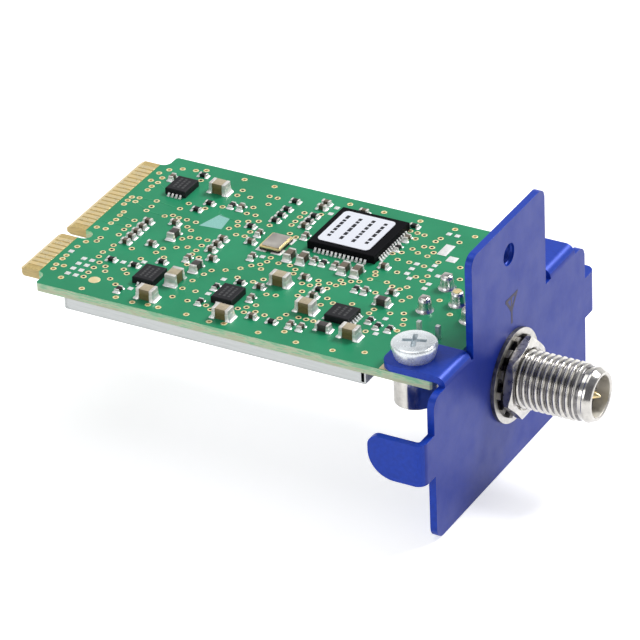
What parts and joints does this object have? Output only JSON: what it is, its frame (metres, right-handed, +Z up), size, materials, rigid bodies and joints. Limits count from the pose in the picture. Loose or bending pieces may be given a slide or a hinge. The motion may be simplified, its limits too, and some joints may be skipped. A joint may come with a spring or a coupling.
{
  "type": "plug-in radio module",
  "caption": "Plug-in radio card: green circuit board with a gold card edge, folded blue metal bracket and a threaded right-angle antenna jack.",
  "frame": {"origin": "middle of the shoulder line on the board's top face, where the board stops against its card socket", "axes": "+X along the board from the card edge to the bracket and out of the antenna jack; +Y across the board, to the far side in the picture; +Z up out of the board's component side"},
  "size_m": [0.0624, 0.0403, 0.0288],
  "materials": {
    "solder_mask": "satin",
    "gold_plating": "polished",
    "tinned_copper": "satin",
    "blue_coating": "satin",
    "zinc_plating": "polished",
    "nickel_plating": "polished",
    "white_insulation": "matte",
    "shield_sheet": "satin",
    "black_moulding": "matte",
    "paper_label": "matte",
    "crystal_ceramic": "matte",
    "crystal_metal": "satin",
    "tan_ceramic": "satin",
    "dark_ferrite": "matte",
    "resistor_glaze": "gloss"
  },
  "bodies": {
    "root": {"circuit_board": "solder_mask", "top_contacts": "gold_plating", "bottom_contacts": "gold_plating", "header_pins": "tinned_copper", "bracket": "blue_coating", "ear_screws": "zinc_plating", "board_nuts": "nickel_plating", "jack_shell": "nickel_plating", "jack_insulator": "white_insulation", "jack_pin": "gold_plating", "lock_washer": "nickel_plating", "hex_nut": "nickel_plating", "solder_joints": "tinned_copper", "shield_can": "shield_sheet", "transceiver_chip": "black_moulding", "amplifier_chip": "black_moulding", "band_filters": "crystal_metal", "clock_oscillator": "crystal_metal", "main_chip": "black_moulding", "main_chip_leads": "tinned_copper", "chip_label": "paper_label", "memory_chip": "black_moulding", "memory_chip_leads": "tinned_copper", "front_regulator": "black_moulding", "rear_regulator": "black_moulding", "regulator_leads": "tinned_copper", "antenna_switch": "black_moulding", "antenna_switch_leads": "tinned_copper", "crystal_base": "crystal_ceramic", "crystal_ring": "gold_plating", "crystal_lid": "crystal_metal", "bulk_capacitor_bodies": "tan_ceramic", "bulk_capacitor_ends": "tinned_copper", "middle_capacitor_bodies": "tan_ceramic", "middle_capacitor_ends": "tinned_copper", "ferrite_bead_bodies": "dark_ferrite", "ferrite_bead_ends": "tinned_copper", "small_capacitor_bodies": "tan_ceramic", "small_capacitor_ends": "tinned_copper", "resistor_bodies": "resistor_glaze", "resistor_ends": "tinned_copper"}
  },
  "joints": []
}
